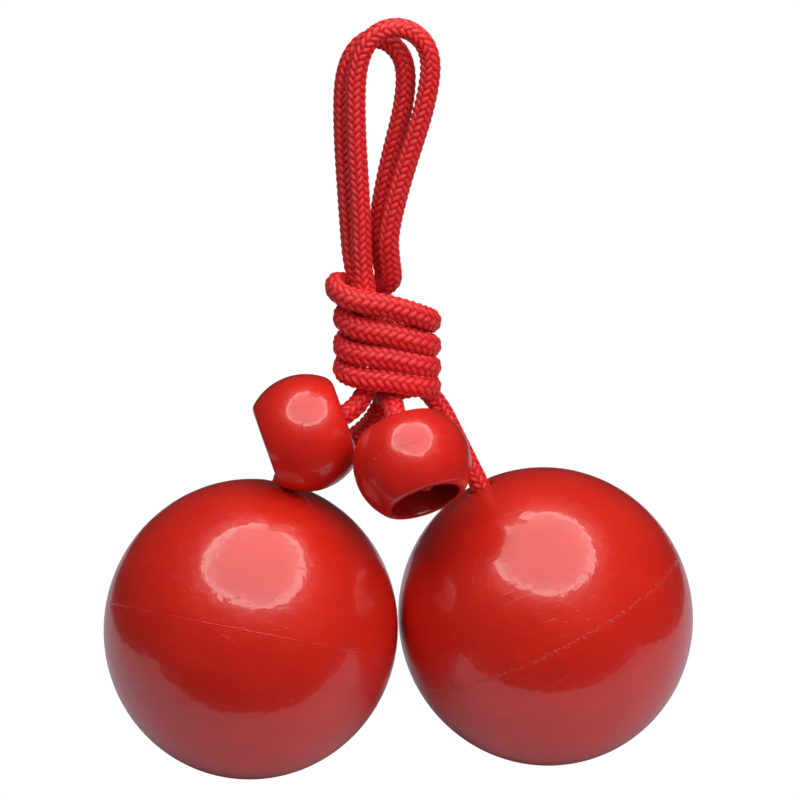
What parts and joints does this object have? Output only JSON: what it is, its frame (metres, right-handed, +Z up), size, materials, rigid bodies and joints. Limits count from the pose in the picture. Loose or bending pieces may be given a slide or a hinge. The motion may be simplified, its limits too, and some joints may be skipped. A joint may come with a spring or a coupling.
{
  "type": "pair of cord-swung balls",
  "caption": "Hollow glossy balls on braided cord with bored knob beads on the cord ends, hanked together by a cord wrap below a double hang loop.",
  "frame": {"origin": "inside top of the double hang loop, midway between its two strands", "axes": "+Z up as it hangs, +X from the left ball to the right ball, +Y to the back"},
  "size_m": [0.1206, 0.0684, 0.1584],
  "materials": {
    "ball_shell": "glossy red moulded plastic with a fine weld seam",
    "bead_shell": "glossy red moulded plastic with a fine parting line",
    "cord": "round braided synthetic cord, slight sheen"
  },
  "bodies": {
    "hank": {"loop_front": "cord", "loop_back": "cord", "hank_wrap": "cord", "left_bead_cord": "cord", "right_bead_cord": "cord", "bead_left_knot": "cord", "bead_right_knot": "cord"},
    "left_tail": {"left_ball_cord": "cord", "ball_left_knot": "cord"},
    "right_tail": {"right_ball_cord": "cord", "ball_right_knot": "cord"},
    "left_ball": {"ball_left_upper_shell": "ball_shell", "ball_left_lower_shell": "ball_shell"},
    "right_ball": {"ball_right_upper_shell": "ball_shell", "ball_right_lower_shell": "ball_shell"},
    "left_bead": {"bead_left": "bead_shell"},
    "right_bead": {"bead_right": "bead_shell"}
  },
  "joints": [
    {"name": "left_ball_swing", "type": "hinge", "parent": "hank", "child": "left_tail", "pos_m": [-0.001, 0.0035, -0.077], "axis": [0.9029, 0.4299, 0], "range_deg": [0, 25]},
    {"name": "left_ball_spin", "type": "hinge", "parent": "left_tail", "child": "left_ball", "pos_m": [-0.0288, -0.008, -0.1227], "axis": [0.19, 0.303, 0.9339], "continuous": true},
    {"name": "right_ball_swing", "type": "hinge", "parent": "hank", "child": "right_tail", "pos_m": [0.0092, 0.0028, -0.077], "axis": [0, -1, 0], "range_deg": [0, 25]},
    {"name": "right_ball_spin", "type": "hinge", "parent": "right_tail", "child": "right_ball", "pos_m": [0.0314, 0, -0.1227], "axis": [-0.4373, 0.054, 0.8977], "continuous": true},
    {"name": "left_bead_spin", "type": "hinge", "parent": "hank", "child": "left_bead", "pos_m": [-0.01755, -0.0056, -0.0814], "axis": [-0.9422, -0.1035, -0.3187], "continuous": true},
    {"name": "right_bead_spin", "type": "hinge", "parent": "hank", "child": "right_bead", "pos_m": [0.0041, -0.017, -0.0842], "axis": [0.32, -0.5979, -0.7349], "continuous": true}
  ]
}
